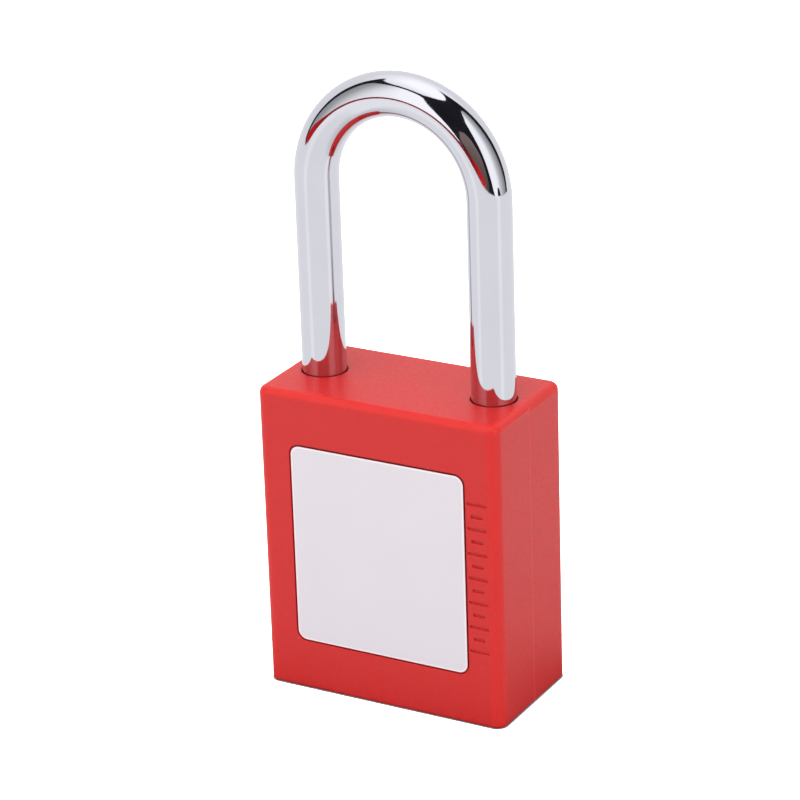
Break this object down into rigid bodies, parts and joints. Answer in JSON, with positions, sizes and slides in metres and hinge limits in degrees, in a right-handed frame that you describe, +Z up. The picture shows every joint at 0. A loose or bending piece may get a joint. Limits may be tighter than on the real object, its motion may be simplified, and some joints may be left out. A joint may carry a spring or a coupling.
{
  "type": "safety lockout padlock",
  "caption": "Rectangular keyed safety padlock with a nylon body, a label on the front and a closed steel shackle that lifts when unlocked.",
  "frame": {"origin": "centre of the flat base under the body", "axes": "+Z up along the shackle, -Y out of the labelled front, +X towards the short toe leg"},
  "size_m": [0.038, 0.02, 0.0908],
  "materials": {
    "red_nylon": "satin moulded nylon",
    "red_nylon_cover": "satin moulded nylon",
    "label_film": "smooth white film",
    "chromed_steel": "bright chrome",
    "aluminium": "milled",
    "housing_brass": "milled",
    "cam_brass": "milled",
    "brass": "turned",
    "brass_strip": "rolled strip",
    "pin_brass": "turned",
    "pin_steel": "turned",
    "spring_steel": "phosphated",
    "spring_wire": "drawn wire",
    "hardened_steel": "ground",
    "black_steel": "blackened"
  },
  "bodies": {
    "lock_body": {"body_shell": "red_nylon", "label": "label_film", "bottom_cover": "red_nylon_cover", "inner_body": "aluminium", "stop_pin": "hardened_steel", "cylinder_housing": "housing_brass", "chamber_cover": "brass_strip", "retaining_screw": "black_steel", "spring_1": "spring_wire", "spring_2": "spring_wire", "spring_3": "spring_wire", "spring_4": "spring_wire", "spring_5": "spring_wire", "spring_6": "spring_wire"},
    "shackle": {"shackle": "chromed_steel"},
    "plug": {"plug": "brass", "plug_clip": "spring_steel", "cam": "cam_brass"},
    "ball_heel": {"ball_heel": "hardened_steel"},
    "ball_toe": {"ball_toe": "hardened_steel"},
    "driver_pin_1": {"driver_pin_1": "pin_steel"},
    "driver_pin_2": {"driver_pin_2": "pin_steel"},
    "driver_pin_3": {"driver_pin_3": "pin_steel"},
    "driver_pin_4": {"driver_pin_4": "pin_steel"},
    "driver_pin_5": {"driver_pin_5": "pin_steel"},
    "driver_pin_6": {"driver_pin_6": "pin_steel"},
    "key_pin_1": {"key_pin_1": "pin_brass"},
    "key_pin_2": {"key_pin_2": "pin_brass"},
    "key_pin_3": {"key_pin_3": "pin_brass"},
    "key_pin_4": {"key_pin_4": "pin_brass"},
    "key_pin_5": {"key_pin_5": "pin_brass"},
    "key_pin_6": {"key_pin_6": "pin_brass"}
  },
  "joints": [
    {"name": "shackle_lift", "type": "slide", "parent": "lock_body", "child": "shackle", "axis": [0, 0, 1], "range_m": [0, 0.015]},
    {"name": "plug_turn", "type": "hinge", "parent": "lock_body", "child": "plug", "pos_m": [0, 0, 0.014], "axis": [0, 0, 1], "range_deg": [-90, 0]},
    {"name": "ball_toe_slide", "type": "slide", "parent": "lock_body", "child": "ball_toe", "axis": [1, 0, 0], "range_m": [0, 0.00161]},
    {"name": "ball_heel_slide", "type": "slide", "parent": "lock_body", "child": "ball_heel", "axis": [-1, 0, 0], "range_m": [0, 0.00161]},
    {"name": "driver_1_slide", "type": "slide", "parent": "lock_body", "child": "driver_pin_1", "axis": [1, 0, 0], "range_m": [0, 0.0015], "stiffness_N_per_m": 100, "springref_m": -0.004, "deforming": ["spring_1"]},
    {"name": "driver_2_slide", "type": "slide", "parent": "lock_body", "child": "driver_pin_2", "axis": [1, 0, 0], "range_m": [0, 0.0015], "stiffness_N_per_m": 100, "springref_m": -0.004, "deforming": ["spring_2"]},
    {"name": "driver_3_slide", "type": "slide", "parent": "lock_body", "child": "driver_pin_3", "axis": [1, 0, 0], "range_m": [0, 0.0015], "stiffness_N_per_m": 100, "springref_m": -0.004, "deforming": ["spring_3"]},
    {"name": "driver_4_slide", "type": "slide", "parent": "lock_body", "child": "driver_pin_4", "axis": [1, 0, 0], "range_m": [0, 0.0015], "stiffness_N_per_m": 100, "springref_m": -0.004, "deforming": ["spring_4"]},
    {"name": "driver_5_slide", "type": "slide", "parent": "lock_body", "child": "driver_pin_5", "axis": [1, 0, 0], "range_m": [0, 0.0015], "stiffness_N_per_m": 100, "springref_m": -0.004, "deforming": ["spring_5"]},
    {"name": "driver_6_slide", "type": "slide", "parent": "lock_body", "child": "driver_pin_6", "axis": [1, 0, 0], "range_m": [0, 0.0015], "stiffness_N_per_m": 100, "springref_m": -0.004, "deforming": ["spring_6"]},
    {"name": "key_pin_1_slide", "type": "slide", "parent": "plug", "child": "key_pin_1", "axis": [0, 1, 0], "range_m": [-0.0018, 0]},
    {"name": "key_pin_2_slide", "type": "slide", "parent": "plug", "child": "key_pin_2", "axis": [0, 1, 0], "range_m": [-0.0012, 0]},
    {"name": "key_pin_3_slide", "type": "slide", "parent": "plug", "child": "key_pin_3", "axis": [0, 1, 0], "range_m": [-0.0021, 0]},
    {"name": "key_pin_4_slide", "type": "slide", "parent": "plug", "child": "key_pin_4", "axis": [0, 1, 0], "range_m": [-0.0015, 0]},
    {"name": "key_pin_5_slide", "type": "slide", "parent": "plug", "child": "key_pin_5", "axis": [0, 1, 0], "range_m": [-0.0024, 0]},
    {"name": "key_pin_6_slide", "type": "slide", "parent": "plug", "child": "key_pin_6", "axis": [0, 1, 0], "range_m": [-0.0018, 0]}
  ],
  "couplings": [
    {"joint": "ball_toe_slide", "follows": "plug_turn", "m_per_rad": -0.0010186},
    {"joint": "ball_heel_slide", "follows": "plug_turn", "m_per_rad": -0.0010186}
  ]
}
